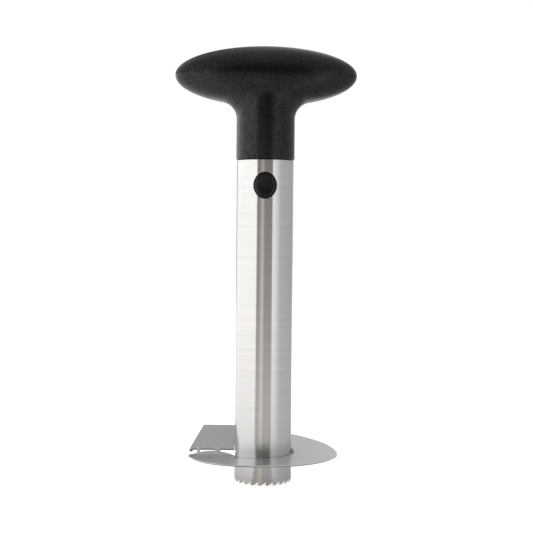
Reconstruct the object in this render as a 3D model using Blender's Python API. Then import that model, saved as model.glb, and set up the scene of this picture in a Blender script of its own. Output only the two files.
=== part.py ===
"""Pineapple slicer: a toothed coring tube with a sprung disc blade near its foot,
and a black grip that lifts off the tube once its two side buttons are pressed.

Frame: the origin is on the tube's axis, level with the tips of the teeth. +Z runs up
the tube to the grip, +X along the grip to its right-hand end, and +Y to the rear.
"""

import math

import bmesh
import bpy
from mathutils import Vector

MM = 0.001

# Fits that several pieces share
SEAT_GAP = 0.3 * MM
CUT_OVERRUN = 2.0 * MM

# Coring tube
TUBE_RADIUS = 15.75 * MM
TUBE_WALL = 0.8 * MM
TUBE_LENGTH = 177.6 * MM
TUBE_BORE_RADIUS = TUBE_RADIUS - TUBE_WALL
TOOTH_COUNT = 24
TOOTH_DEPTH = 2.0 * MM
TOOTH_LAND = 0.35 * MM
TOOTH_PHASE = math.radians(-97.7)
TOOTH_BACK_SHARES = ((0.55, 0.45), (0.9, 1.0))

# Disc blade, with the fin that is bent up out of it
BLADE_RADIUS = 41.5 * MM
BLADE_THICKNESS = 1.0 * MM
BLADE_HEIGHT = 15.3 * MM
BLADE_SET = 3.6 * MM
BLADE_RIM_BEVEL = 1.2 * MM
BLADE_BORE_RADIUS = TUBE_RADIUS + SEAT_GAP
BLADE_STEPS = 65
BEND_AZIMUTH = math.radians(180.0)
CUTTING_EDGE_AZIMUTH = math.radians(505.0)
CUTTING_EDGE_BEVEL = 2.0 * MM
# azimuth in degrees, then how far the disc's rim and bore are set up or down there
BLADE_SET_SHARES = (
    (180, -0.53, -0.56),
    (225, 0.08, -0.36),
    (270, 0.42, 0.0),
    (315, 0.25, 0.03),
    (360, -0.06, 0.08),
    (405, 0.39, 0.33),
    (430, 0.80, 0.58),
    (460, 1.0, 0.80),
    (505, 0.67, 0.61),
)
FIN_ANGLE = math.radians(34.0)
FIN_LENGTH = 23.5 * MM
FIN_FOOT = 4.6 * MM
FIN_CORNER_DROP = 1.5 * MM
FIN_ROWS = 6
TONGUE_BULGE = 3.1 * MM
RIB_WIDTHS = (3.1 * MM, 1.6 * MM)
RIB_CENTRE_SHARES = (0.36, 0.784)
BLADE_RING_SHARES = (0.16, 0.62, 0.9)

# Tack welds that hold the blade to the tube
WELD_LEG = 1.5 * MM
WELD_LENGTH = 6.0 * MM
WELD_STEPS = 6
WELD_BOW_SHARE = 0.57
# azimuth in degrees, then 1 on the blade's top face or -1 under it
WELD_PLACES = ((360, 1), (450, -1), (215, -1), (325, -1))

# Grip: an oval head that flows into a round neck
GRIP_HALF_LENGTH = 50.6 * MM
GRIP_HALF_DEPTH = 20.0 * MM
GRIP_DOME_HEIGHT = 16.1 * MM
GRIP_BELLY_DEPTH = 17.0 * MM
GRIP_HEAD_RISE = 47.4 * MM
GRIP_HEAD_HEIGHT = TUBE_LENGTH + GRIP_HEAD_RISE
GRIP_FILLET = 9.5 * MM
NECK_OVERHANG = 0.45 * MM
NECK_RADIUS = TUBE_RADIUS + NECK_OVERHANG
NECK_CHAMFER = 0.5 * MM
NECK_FOOT = TUBE_LENGTH + SEAT_GAP
SOCKET_DEPTH = 21.0 * MM
GRIP_SIDES = 56
DOME_RINGS = 8
BELLY_RINGS = 6
FILLET_RINGS = 5

# Push buttons, one in front and one behind
BUTTON_DROP = 14.2 * MM
BUTTON_HEIGHT = TUBE_LENGTH - BUTTON_DROP
BUTTON_HALF_WIDTH = 6.15 * MM
BUTTON_HALF_HEIGHT = 7.05 * MM
BUTTON_PROUD = 0.6 * MM
BUTTON_CHAMFER = 0.6 * MM
BUTTON_TRAVEL = 2.8 * MM
BUTTON_REST_GAP = 1.7 * MM
BUTTON_FLANGE = 1.45 * MM
BUTTON_FLANGE_THICKNESS = 1.6 * MM
BUTTON_FLANGE_FACE = 10.2 * MM
BUTTON_STEM_INSET = 1.0 * MM
BUTTON_INNER_END = BUTTON_TRAVEL + BUTTON_REST_GAP
BUTTON_SIDES = 36
BUTTON_FACE_SHARES = (0.9, 0.5)
CUP_RADIUS = 3.7 * MM
CUP_DEPTH = 4.0 * MM
GUIDE_CLEARANCE = 0.3 * MM

# Lock plug under the grip, in two halves that the tube holds together
PLUG_RADIUS = TUBE_BORE_RADIUS - SEAT_GAP
PLUG_FLOOR = 8.0 * MM
CHAMBER_HALF_WIDTH = BUTTON_HALF_WIDTH + BUTTON_FLANGE + GUIDE_CLEARANCE
CHAMBER_HALF_HEIGHT = BUTTON_HALF_HEIGHT + BUTTON_FLANGE + GUIDE_CLEARANCE
PLUG_LENGTH = BUTTON_DROP + CHAMBER_HALF_HEIGHT + PLUG_FLOOR
PLUG_FOOT = TUBE_LENGTH - PLUG_LENGTH
PLUG_CHAMFER = 1.0 * MM
PLUG_SHOULDER = 1.55 * MM
SPIGOT_RADIUS = PLUG_RADIUS - PLUG_SHOULDER
SPIGOT_TOP = NECK_FOOT + SOCKET_DEPTH - SEAT_GAP
PLUG_SPLIT_GAP = 0.3 * MM
PLUG_SIDES = 64

# Spring between the buttons
SPRING_WIRE = 0.7 * MM
SPRING_RADIUS = 2.9 * MM
SPRING_TURNS = 7
SPRING_POINTS_PER_TURN = 10

# Screws that hold the plug to the grip
SCREW_OFFSET = (CHAMBER_HALF_WIDTH + SPIGOT_RADIUS) / 2
SCREW_RADIUS = 1.4 * MM
SCREW_HEAD_RADIUS = 2.4 * MM
SCREW_HEAD_HEIGHT = 2.0 * MM
SCREW_TIP = 2.0 * MM
SCREW_BITE = 9.0 * MM
SCREW_SIDES = 16

# Colours, roughness and metallic values
STEEL = ((0.62, 0.62, 0.60), 0.3, 1.0)
BLACK_PLASTIC = ((0.018, 0.018, 0.019), 0.55, 0.0)
BUTTON_PLASTIC = ((0.012, 0.012, 0.013), 0.4, 0.0)
PLUG_PLASTIC = ((0.05, 0.05, 0.052), 0.5, 0.0)
SPRING_STEEL = ((0.55, 0.55, 0.56), 0.35, 1.0)
SCREW_STEEL = ((0.5, 0.5, 0.5), 0.4, 1.0)


def clear_scene():
    for item in list(bpy.data.objects):
        bpy.data.objects.remove(item)


def make_material(name, finish):
    colour, roughness, metallic = finish
    material = bpy.data.materials.new(name)
    material.use_nodes = True
    shader = material.node_tree.nodes["Principled BSDF"]
    shader.inputs["Base Color"].default_value = (*colour, 1.0)
    shader.inputs["Roughness"].default_value = roughness
    shader.inputs["Metallic"].default_value = metallic
    return material


def finish_mesh(name, work, finish, smooth_angle=math.radians(35)):
    """Turns a closed bmesh into a named object with its own material."""
    bmesh.ops.recalc_face_normals(work, faces=work.faces)
    mesh = bpy.data.meshes.new(name)
    work.to_mesh(mesh)
    work.free()
    item = bpy.data.objects.new(name, mesh)
    bpy.context.scene.collection.objects.link(item)
    if finish:
        item.data.materials.append(make_material(name, finish))
        item.data.shade_smooth()
        item.data.set_sharp_from_angle(angle=smooth_angle)
    return item


def cut(item, cutter):
    """Takes the cutter's shape out of the item, and hides the cutter."""
    cutter.hide_render = True
    cutter.display_type = "WIRE"
    boolean = item.modifiers.new("cut", "BOOLEAN")
    boolean.operation = "DIFFERENCE"
    boolean.solver = "EXACT"
    boolean.object = cutter


def skin_rings(work, rings):
    """Joins rings of points, each with as many points, by faces from one ring to the next."""
    rows = [[work.verts.new(point) for point in ring] for ring in rings]
    count = len(rows[0])
    for lower, upper in zip(rows, rows[1:]):
        for i in range(count):
            j = (i + 1) % count
            work.faces.new((lower[i], lower[j], upper[j], upper[i]))
    return rows


def close_ring(work, row, apex=None):
    """Closes a ring of vertices with one flat face, or with a fan to an apex."""
    if apex is None:
        work.faces.new(row)
        return
    top = work.verts.new(apex)
    for i, vertex in enumerate(row):
        work.faces.new((vertex, row[(i + 1) % len(row)], top))


def oval_ring(half_x, half_z, depth, sides):
    """An upright oval in a plane of constant Y."""
    angles = [math.tau * i / sides for i in range(sides)]
    return [Vector((half_x * math.cos(a), depth, half_z * math.sin(a))) for a in angles]


def round_ring(radius, height, sides, centre=(0.0, 0.0)):
    angles = [math.tau * i / sides for i in range(sides)]
    x, y = centre
    return [Vector((x + radius * math.cos(a), y + radius * math.sin(a), height)) for a in angles]


def make_turned(name, profile, sides, finish, centre=(0.0, 0.0)):
    """A solid turned about an upright axis, from (radius, height) pairs, with flat ends."""
    work = bmesh.new()
    rows = skin_rings(work, [round_ring(r, z, sides, centre) for r, z in profile])
    close_ring(work, rows[0])
    close_ring(work, rows[-1])
    return finish_mesh(name, work, finish)


def make_box(name, low, high):
    work = bmesh.new()
    bmesh.ops.create_cube(work, size=1.0)
    middle = (Vector(low) + Vector(high)) / 2
    span = Vector(high) - Vector(low)
    for vertex in work.verts:
        vertex.co = middle + Vector(c * s for c, s in zip(vertex.co, span))
    return finish_mesh(name, work, None)


def make_oval_bar(name, half_x, half_z, near, far, height, sides):
    """A straight bar along Y with an oval section, used to cut windows."""
    work = bmesh.new()
    rows = skin_rings(work, [oval_ring(half_x, half_z, y, sides) for y in (near, far)])
    close_ring(work, rows[0])
    close_ring(work, rows[-1])
    for vertex in work.verts:
        vertex.co.z += height
    return finish_mesh(name, work, None)


def tooth_columns():
    """The (azimuth, height) pairs of the tube's toothed foot, all the way round.

    Each tooth has a narrow land at its tip, a hollow back that climbs to the gullet,
    and a steep cutting face that faces clockwise, seen from above."""
    pitch = math.tau / TOOTH_COUNT
    land = TOOTH_LAND / TUBE_RADIUS
    columns = []
    for tooth in range(TOOTH_COUNT):
        start = TOOTH_PHASE + tooth * pitch
        columns.append((start, 0.0))
        columns.append((start + land, 0.0))
        for turn_share, depth_share in TOOTH_BACK_SHARES:
            columns.append((start + turn_share * pitch, depth_share * TOOTH_DEPTH))
    return columns


def make_coring_tube():
    columns = tooth_columns()

    def ring(radius, height=None):
        return [
            Vector((radius * math.cos(a), radius * math.sin(a), z if height is None else height))
            for a, z in columns
        ]

    work = bmesh.new()
    rings = [
        ring(TUBE_RADIUS),
        ring(TUBE_RADIUS, TUBE_LENGTH),
        ring(TUBE_BORE_RADIUS, TUBE_LENGTH),
        ring(TUBE_BORE_RADIUS),
        ring(TUBE_RADIUS),
    ]
    skin_rings(work, rings)
    bmesh.ops.remove_doubles(work, verts=work.verts, dist=TOOTH_LAND / 100)
    tube = finish_mesh("corer_tube", work, STEEL)
    reach = TUBE_RADIUS + CUT_OVERRUN
    window = make_oval_bar(
        "cutter_button_holes",
        BUTTON_HALF_WIDTH + GUIDE_CLEARANCE,
        BUTTON_HALF_HEIGHT + GUIDE_CLEARANCE,
        -reach,
        reach,
        BUTTON_HEIGHT,
        BUTTON_SIDES,
    )
    cut(tube, window)


def blade_set(azimuth, radius):
    """Height of the disc's top face, on smooth curves through the shares at rim and bore."""
    degrees = math.degrees(azimuth)
    knots = BLADE_SET_SHARES
    last = len(knots) - 2
    index = max(i for i in range(last + 1) if knots[i][0] <= degrees or i == 0)
    before, after = knots[index], knots[index + 1]
    span = after[0] - before[0]
    t = (degrees - before[0]) / span
    values = []
    for column in (1, 2):
        slopes = []
        for k in (index, index + 1):
            low, high = knots[max(k - 1, 0)], knots[min(k + 1, last + 1)]
            slopes.append((high[column] - low[column]) / (high[0] - low[0]) * span)
        values.append(
            before[column] * (2 * t**3 - 3 * t**2 + 1)
            + slopes[0] * (t**3 - 2 * t**2 + t)
            + after[column] * (3 * t**2 - 2 * t**3)
            + slopes[1] * (t**3 - t**2)
        )
    across = (radius - BLADE_BORE_RADIUS) / (BLADE_RADIUS - BLADE_BORE_RADIUS)
    share = values[1] + (values[0] - values[1]) * across
    return BLADE_HEIGHT + share * BLADE_SET


def disc_point(azimuth, radius):
    z = blade_set(azimuth, radius)
    return Vector((radius * math.cos(azimuth), radius * math.sin(azimuth), z))


def fin_point(radius, along):
    """A point on the bent-up side, so far out from the axis and so far up from the bend."""
    root = disc_point(BEND_AZIMUTH, radius)
    rise = Vector((0.0, math.cos(FIN_ANGLE), math.sin(FIN_ANGLE)))
    return root + rise * along


def rib_places():
    """The inner and the outer radius of each rib."""
    places = []
    for share, width in zip(RIB_CENTRE_SHARES, RIB_WIDTHS):
        centre = BLADE_BORE_RADIUS + share * (BLADE_RADIUS - BLADE_BORE_RADIUS)
        places.append((centre - width / 2, centre + width / 2))
    return places


def blade_radii():
    """Where the blade's rows run between its bore and its rim. The ribs' sides are rows."""
    ribs = [radius for rib in rib_places() for radius in rib]
    flat_radius = BLADE_RADIUS - BLADE_RIM_BEVEL
    span = flat_radius - BLADE_BORE_RADIUS
    between = [BLADE_BORE_RADIUS + share * span for share in BLADE_RING_SHARES]
    return sorted([BLADE_BORE_RADIUS, flat_radius] + ribs + between)


def make_slicing_blade():
    radii = blade_radii()
    outer = len(radii) - 1
    up = Vector((0.0, 0.0, BLADE_THICKNESS))
    fin_up = Vector((0.0, -math.sin(FIN_ANGLE), math.cos(FIN_ANGLE))) * BLADE_THICKNESS
    bend_up = (up + fin_up) / (1.0 + math.cos(FIN_ANGLE))
    work = bmesh.new()

    def pair(top, under, offset):
        """A vertex on the top face and the one under it."""
        return work.verts.new(top), work.verts.new(under - offset)

    def sheet(rows):
        """Top and under faces between rows of vertex pairs."""
        for first, second in zip(rows, rows[1:]):
            for side in (0, 1):
                for i in range(len(first) - 1):
                    corners = [first[i], first[i + 1], second[i + 1], second[i]]
                    work.faces.new([corner[side] for corner in dict.fromkeys(corners)])

    def wall(edge):
        """The edge face along a free border."""
        for first, second in zip(edge, edge[1:]):
            work.faces.new((first[0], second[0], second[1], first[1]))

    def rim_radius(i):
        return BLADE_RADIUS if i == outer else radii[i]

    sweep = CUTTING_EDGE_AZIMUTH - BEND_AZIMUTH
    disc = []
    for step in range(BLADE_STEPS + 1):
        azimuth = BEND_AZIMUTH + sweep * step / BLADE_STEPS
        offset = bend_up if step == 0 else up
        row = []
        for i, radius in enumerate(radii):
            lead = CUTTING_EDGE_BEVEL / radius if step == BLADE_STEPS else 0.0
            top = disc_point(azimuth - lead, rim_radius(i))
            row.append(pair(top, disc_point(azimuth, radius), offset))
        disc.append(row)

    chord = radii[outer] - BLADE_BORE_RADIUS
    tongue = [disc[0][0]]
    for radius in radii[1:outer]:
        across = (radius - BLADE_BORE_RADIUS) / chord
        bulge = TONGUE_BULGE * 4.0 * across * (1.0 - across)
        point = fin_point(radius, bulge)
        tongue.append(pair(point, point, fin_up))
    tongue.append(disc[0][outer])

    foot_reach = math.sqrt(BLADE_RADIUS**2 - FIN_FOOT**2)
    tip_reach = math.sqrt(BLADE_RADIUS**2 - FIN_LENGTH**2)
    fin = []
    for step in range(FIN_ROWS + 1):
        along = FIN_FOOT + (FIN_LENGTH - FIN_FOOT) * step / FIN_ROWS
        reach = foot_reach + (tip_reach - foot_reach) * step / FIN_ROWS
        under_reach = reach - BLADE_RIM_BEVEL
        row = []
        for i, radius in enumerate(radii):
            share = (radius - BLADE_BORE_RADIUS) / chord
            place = BLADE_BORE_RADIUS + share * (reach - BLADE_BORE_RADIUS)
            drop = 0.0
            if step == 0 and i < outer:
                place = radius
            elif step == 0:
                drop = FIN_CORNER_DROP
            top = fin_point(place, along - drop)
            under = fin_point(under_reach if i == outer else place, along - drop)
            row.append(pair(top, under, fin_up))
        fin.append(row)

    sheet(disc)
    sheet([disc[0], tongue])
    sheet(fin)
    rib_rows = [(radii.index(low), radii.index(high)) for low, high in rib_places()]
    for low, high in rib_rows:
        sheet([tongue[low : high + 1], fin[0][low : high + 1]])
        for i in (low, high):
            wall([tongue[i], fin[0][i]])
    ends = [0] + [i for rib in rib_rows for i in rib] + [outer]
    for low, high in zip(ends[0::2], ends[1::2]):
        wall(tongue[low : high + 1])
        wall(fin[0][low : high + 1])
    wall([row[0] for row in disc])
    wall([row[outer] for row in disc])
    wall(disc[-1])
    wall([row[0] for row in fin])
    wall([row[outer] for row in fin])
    wall(fin[-1])
    finish_mesh("slicing_blade", work, STEEL, math.radians(20))


def make_weld(name, azimuth, side):
    """One short bead in the corner of tube and blade, above it (side 1) or below (side -1)."""
    half_turn = WELD_LENGTH / TUBE_RADIUS / 2
    corner = BLADE_BORE_RADIUS
    bow = WELD_LEG * WELD_BOW_SHARE
    section = ((0.0, 0.0), (WELD_LEG, 0.0), (bow, bow), (0.0, WELD_LEG))
    rings = []
    for step in range(WELD_STEPS + 1):
        turn = azimuth + half_turn * (2.0 * step / WELD_STEPS - 1.0)
        face = blade_set(turn, corner) + side * SEAT_GAP
        if side < 0:
            face -= BLADE_THICKNESS
        ring = []
        for out, rise in section:
            radius = corner + out
            z = face + side * rise
            ring.append(Vector((radius * math.cos(turn), radius * math.sin(turn), z)))
        rings.append(ring)
    work = bmesh.new()
    rows = skin_rings(work, rings)
    close_ring(work, rows[0])
    close_ring(work, rows[-1])
    finish_mesh(name, work, STEEL)


def make_welds():
    for number, (degrees, side) in enumerate(WELD_PLACES, start=1):
        make_weld(f"blade_weld_{number}", math.radians(degrees), side)


def grip_azimuths():
    """Azimuths round the grip, half way between even on its round neck and on its oval."""
    azimuths = []
    for i in range(GRIP_SIDES):
        turn = math.tau * i / GRIP_SIDES
        x, y = GRIP_HALF_LENGTH * math.cos(turn), GRIP_HALF_DEPTH * math.sin(turn)
        oval_turn = math.atan2(y, x) % math.tau
        azimuths.append((turn + oval_turn) / 2)
    return azimuths


def grip_reach(azimuth):
    """How far the head's oval plan reaches from the axis at an azimuth."""
    along, across = math.cos(azimuth) / GRIP_HALF_LENGTH, math.sin(azimuth) / GRIP_HALF_DEPTH
    return 1.0 / math.hypot(along, across)


def grip_meridian(reach):
    """(radius, height) pairs from under the top of the head down to the neck's foot."""
    points = []
    for step in range(1, DOME_RINGS + 1):
        turn = math.pi / 2 * (1.0 - step / DOME_RINGS)
        radius = reach * math.cos(turn)
        points.append((radius, GRIP_HEAD_HEIGHT + GRIP_DOME_HEIGHT * math.sin(turn)))

    def normal(turn):
        out, down = math.cos(turn) / reach, math.sin(turn) / GRIP_BELLY_DEPTH
        length = math.hypot(out, down)
        return out / length, down / length

    low, high = 0.0, math.pi / 2
    for _ in range(40):
        turn = (low + high) / 2
        centre = reach * math.cos(turn) + GRIP_FILLET * normal(turn)[0]
        if centre > NECK_RADIUS + GRIP_FILLET:
            low = turn
        else:
            high = turn
    for step in range(1, BELLY_RINGS + 1):
        angle = turn * step / BELLY_RINGS
        radius = reach * math.cos(angle)
        points.append((radius, GRIP_HEAD_HEIGHT - GRIP_BELLY_DEPTH * math.sin(angle)))
    out, down = normal(turn)
    centre_radius = NECK_RADIUS + GRIP_FILLET
    centre_height = points[-1][1] - GRIP_FILLET * down
    start = math.atan2(down, -out)
    for step in range(1, FILLET_RINGS + 1):
        angle = start + (math.pi - start) * step / FILLET_RINGS
        radius = centre_radius + GRIP_FILLET * math.cos(angle)
        points.append((radius, centre_height + GRIP_FILLET * math.sin(angle)))
    points.append((NECK_RADIUS, NECK_FOOT + NECK_CHAMFER))
    points.append((NECK_RADIUS - NECK_CHAMFER, NECK_FOOT))
    return points


def make_grip():
    azimuths = grip_azimuths()
    meridians = [grip_meridian(grip_reach(a)) for a in azimuths]
    rings = []
    for places in zip(*meridians):
        rings.append(
            [Vector((r * math.cos(a), r * math.sin(a), z)) for a, (r, z) in zip(azimuths, places)]
        )
    work = bmesh.new()
    rows = skin_rings(work, rings)
    close_ring(work, rows[0], (0.0, 0.0, GRIP_HEAD_HEIGHT + GRIP_DOME_HEIGHT))
    close_ring(work, rows[-1])
    grip = finish_mesh("handle_grip", work, BLACK_PLASTIC, math.radians(50))
    socket_radius = SPIGOT_RADIUS + SEAT_GAP
    socket_top = NECK_FOOT + SOCKET_DEPTH
    socket = make_turned(
        "cutter_socket",
        ((socket_radius, NECK_FOOT - CUT_OVERRUN), (socket_radius, socket_top)),
        PLUG_SIDES,
        None,
    )
    cut(grip, socket)
    pilot_radius = SCREW_RADIUS + SEAT_GAP
    for side in (-1, 1):
        pilot = make_turned(
            f"cutter_pilot_{side + 1}",
            (
                (pilot_radius, socket_top - CUT_OVERRUN),
                (pilot_radius, socket_top + SCREW_BITE + SEAT_GAP),
            ),
            SCREW_SIDES,
            None,
            (side * SCREW_OFFSET, 0.0),
        )
        cut(grip, pilot)


def make_plug_half(name, side):
    """One half of the lock plug, with its share of the button guide and its screw hole."""
    profile = (
        (PLUG_RADIUS - PLUG_CHAMFER, PLUG_FOOT),
        (PLUG_RADIUS, PLUG_FOOT + PLUG_CHAMFER),
        (PLUG_RADIUS, TUBE_LENGTH),
        (SPIGOT_RADIUS, TUBE_LENGTH),
        (SPIGOT_RADIUS, SPIGOT_TOP),
    )
    half = make_turned(name, profile, PLUG_SIDES, PLUG_PLASTIC)
    reach = PLUG_RADIUS + CUT_OVERRUN
    far_side = sorted((-side * reach, side * PLUG_SPLIT_GAP / 2))
    low = (far_side[0], -reach, PLUG_FOOT - CUT_OVERRUN)
    high = (far_side[1], reach, SPIGOT_TOP + CUT_OVERRUN)
    cut(half, make_box(f"cutter_split_{name}", low, high))
    chamber_y = BUTTON_FLANGE_FACE + GUIDE_CLEARANCE
    low = (-CHAMBER_HALF_WIDTH, -chamber_y, BUTTON_HEIGHT - CHAMBER_HALF_HEIGHT)
    high = (CHAMBER_HALF_WIDTH, chamber_y, BUTTON_HEIGHT + CHAMBER_HALF_HEIGHT)
    cut(half, make_box(f"cutter_chamber_{name}", low, high))
    window = make_oval_bar(
        f"cutter_window_{name}",
        BUTTON_HALF_WIDTH + GUIDE_CLEARANCE,
        BUTTON_HALF_HEIGHT + GUIDE_CLEARANCE,
        -reach,
        reach,
        BUTTON_HEIGHT,
        BUTTON_SIDES,
    )
    cut(half, window)
    hole = SCREW_RADIUS + SEAT_GAP
    recess = SCREW_HEAD_RADIUS + SEAT_GAP
    seat = PLUG_FOOT + SCREW_HEAD_HEIGHT + SEAT_GAP
    bore_profile = (
        (recess, PLUG_FOOT - CUT_OVERRUN),
        (recess, seat),
        (hole, seat),
        (hole, SPIGOT_TOP + CUT_OVERRUN),
    )
    centre = (side * SCREW_OFFSET, 0.0)
    cut(half, make_turned(f"cutter_bore_{name}", bore_profile, SCREW_SIDES, None, centre))


def make_plug_screw(name, side):
    """A long self-tapping screw, from the plug's foot up into the grip."""
    top = NECK_FOOT + SOCKET_DEPTH + SCREW_BITE
    profile = (
        (SCREW_HEAD_RADIUS, PLUG_FOOT),
        (SCREW_HEAD_RADIUS, PLUG_FOOT + SCREW_HEAD_HEIGHT),
        (SCREW_RADIUS, PLUG_FOOT + SCREW_HEAD_HEIGHT),
        (SCREW_RADIUS, top - SCREW_TIP),
        (SCREW_RADIUS / 4, top),
    )
    make_turned(name, profile, SCREW_SIDES, SCREW_STEEL, (side * SCREW_OFFSET, 0.0))


def make_button(name, side):
    """An oval button with a stop flange and a cup for the spring. side is -1 in front."""
    cup_floor = BUTTON_INNER_END + CUP_DEPTH
    flange_back = BUTTON_FLANGE_FACE - BUTTON_FLANGE_THICKNESS
    stem_x = BUTTON_HALF_WIDTH - BUTTON_STEM_INSET
    stem_z = BUTTON_HALF_HEIGHT - BUTTON_STEM_INSET
    flange_x = BUTTON_HALF_WIDTH + BUTTON_FLANGE
    flange_z = BUTTON_HALF_HEIGHT + BUTTON_FLANGE
    face_radius = TUBE_RADIUS + BUTTON_PROUD

    def ring(half_x, half_z, depth):
        return oval_ring(half_x, half_z, depth, BUTTON_SIDES)

    def face_ring(share, drop):
        """A ring on the button's face, which is curved like the tube."""
        points = ring(share * BUTTON_HALF_WIDTH, share * BUTTON_HALF_HEIGHT, 0.0)
        for point in points:
            point.y = math.sqrt(face_radius**2 - point.x**2) - drop
        return points

    rings = [
        ring(CUP_RADIUS, CUP_RADIUS, cup_floor),
        ring(CUP_RADIUS, CUP_RADIUS, BUTTON_INNER_END),
        ring(stem_x, stem_z, BUTTON_INNER_END),
        ring(stem_x, stem_z, flange_back),
        ring(flange_x, flange_z, flange_back),
        ring(flange_x, flange_z, BUTTON_FLANGE_FACE),
        ring(BUTTON_HALF_WIDTH, BUTTON_HALF_HEIGHT, BUTTON_FLANGE_FACE),
        face_ring(1.0, BUTTON_CHAMFER),
    ]
    rings += [face_ring(share, 0.0) for share in BUTTON_FACE_SHARES]
    work = bmesh.new()
    rows = skin_rings(work, rings)
    close_ring(work, rows[0])
    close_ring(work, rows[-1], (0.0, face_radius, 0.0))
    for vertex in work.verts:
        vertex.co = Vector((side * vertex.co.x, side * vertex.co.y, vertex.co.z))
    button = finish_mesh(name, work, BUTTON_PLASTIC, math.radians(30))
    button.location = (0.0, 0.0, BUTTON_HEIGHT)


def make_button_spring():
    """One coil spring along Y, from the floor of one button's cup to the other's."""
    cup_floor = BUTTON_INNER_END + CUP_DEPTH
    half_length = cup_floor - SEAT_GAP - SPRING_WIRE / 2
    count = SPRING_TURNS * SPRING_POINTS_PER_TURN
    curve = bpy.data.curves.new("button_spring", "CURVE")
    curve.dimensions = "3D"
    curve.bevel_depth = SPRING_WIRE / 2
    curve.bevel_resolution = 1
    curve.use_fill_caps = True
    spline = curve.splines.new("POLY")
    spline.points.add(count)
    for i, point in enumerate(spline.points):
        turn = math.tau * i / SPRING_POINTS_PER_TURN
        x = SPRING_RADIUS * math.cos(turn)
        z = SPRING_RADIUS * math.sin(turn)
        y = half_length * (2.0 * i / count - 1.0)
        point.co = (x, y, z, 1.0)
    spring = bpy.data.objects.new("button_spring", curve)
    spring.location = (0.0, 0.0, BUTTON_HEIGHT)
    bpy.context.scene.collection.objects.link(spring)
    curve.materials.append(make_material("button_spring", SPRING_STEEL))
    gap = 2.0 * half_length / SPRING_TURNS - SPRING_WIRE
    print(f"spring: least gap between turns {gap / MM:.2f} mm")


def main():
    clear_scene()
    make_coring_tube()
    make_slicing_blade()
    make_welds()
    make_grip()
    make_plug_half("plug_half_left", -1)
    make_plug_half("plug_half_right", 1)
    make_plug_screw("plug_screw_left", -1)
    make_plug_screw("plug_screw_right", 1)
    make_button("button_front", -1)
    make_button("button_rear", 1)
    make_button_spring()


main()
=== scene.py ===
"""Looks of the pineapple slicer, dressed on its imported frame.

Frame: the origin is on the tube's axis, level with the tips of the teeth. +Z runs up
the tube, +X along the grip and +Y away from the camera. Lengths are in metres.
"""

import math

import bmesh
import bpy
from mathutils import Matrix, Vector


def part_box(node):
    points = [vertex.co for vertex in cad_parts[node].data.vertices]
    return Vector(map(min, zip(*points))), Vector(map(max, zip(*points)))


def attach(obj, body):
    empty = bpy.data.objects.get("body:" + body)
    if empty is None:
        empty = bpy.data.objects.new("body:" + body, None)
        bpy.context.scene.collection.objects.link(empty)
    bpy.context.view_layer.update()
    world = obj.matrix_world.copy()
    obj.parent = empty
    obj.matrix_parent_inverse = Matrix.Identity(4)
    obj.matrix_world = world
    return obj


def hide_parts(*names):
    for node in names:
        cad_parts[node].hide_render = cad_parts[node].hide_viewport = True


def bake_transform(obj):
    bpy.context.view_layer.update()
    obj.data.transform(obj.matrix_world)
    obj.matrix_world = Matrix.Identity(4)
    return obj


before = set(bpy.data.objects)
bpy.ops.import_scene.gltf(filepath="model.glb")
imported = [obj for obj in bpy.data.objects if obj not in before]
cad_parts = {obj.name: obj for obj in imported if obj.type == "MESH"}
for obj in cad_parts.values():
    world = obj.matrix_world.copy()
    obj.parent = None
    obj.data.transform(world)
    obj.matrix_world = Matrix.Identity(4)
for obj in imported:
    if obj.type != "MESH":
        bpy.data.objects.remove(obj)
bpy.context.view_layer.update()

MM = 0.001
CORNERS = ((-1, -1), (1, -1), (1, 1), (-1, 1))

# Coring tube, its teeth and its button holes
TUBE_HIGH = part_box("corer_tube")[1]
TUBE_RADIUS = TUBE_HIGH.x
TUBE_TOP = TUBE_HIGH.z
TUBE_WALL = 0.8 * MM
TUBE_RIM = 0.25 * MM
TUBE_ROWS = 26
TOOTH_COUNT = 24
TOOTH_DEPTH = 2.0 * MM
TOOTH_LAND = 0.35 * MM
TOOTH_PHASE = math.radians(-97.7)
TOOTH_BACK_SHARE = 0.9
TOOTH_BACK_STEPS = 7
TOOTH_BACK_POWER = 1.3
HOLE_CLEARANCE = 0.3 * MM
HOLE_SIDES = 96
EDGE_ROUND = 0.14 * MM
EDGE_ROUND_DEGREES = 55
EDGE_ROUND_SEGMENTS = 2
TUBE_SHARP_DEGREES = 30
MERGE_DISTANCE = TOOTH_LAND / 100
WALL_TOLERANCE = TUBE_WALL / 20
UPRIGHT_SHARE = 0.99

# Disc blade and its bent-up fin
BLADE_RADIUS = 41.5 * MM
BLADE_THICKNESS = 1.0 * MM
BLADE_HEIGHT = 15.3 * MM
BLADE_SET = 3.6 * MM
BLADE_RIM_BEVEL = 1.2 * MM
SEAT_GAP = 0.3 * MM
BLADE_BORE_RADIUS = TUBE_RADIUS + SEAT_GAP
BLADE_SHARP_DEGREES = 24
BLADE_STEPS = 216
BLADE_ROW_SPACING = 1.1 * MM
BEND_AZIMUTH = math.radians(180.0)
CUTTING_EDGE_AZIMUTH = math.radians(505.0)
CUTTING_EDGE_BEVEL = 2.0 * MM
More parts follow.
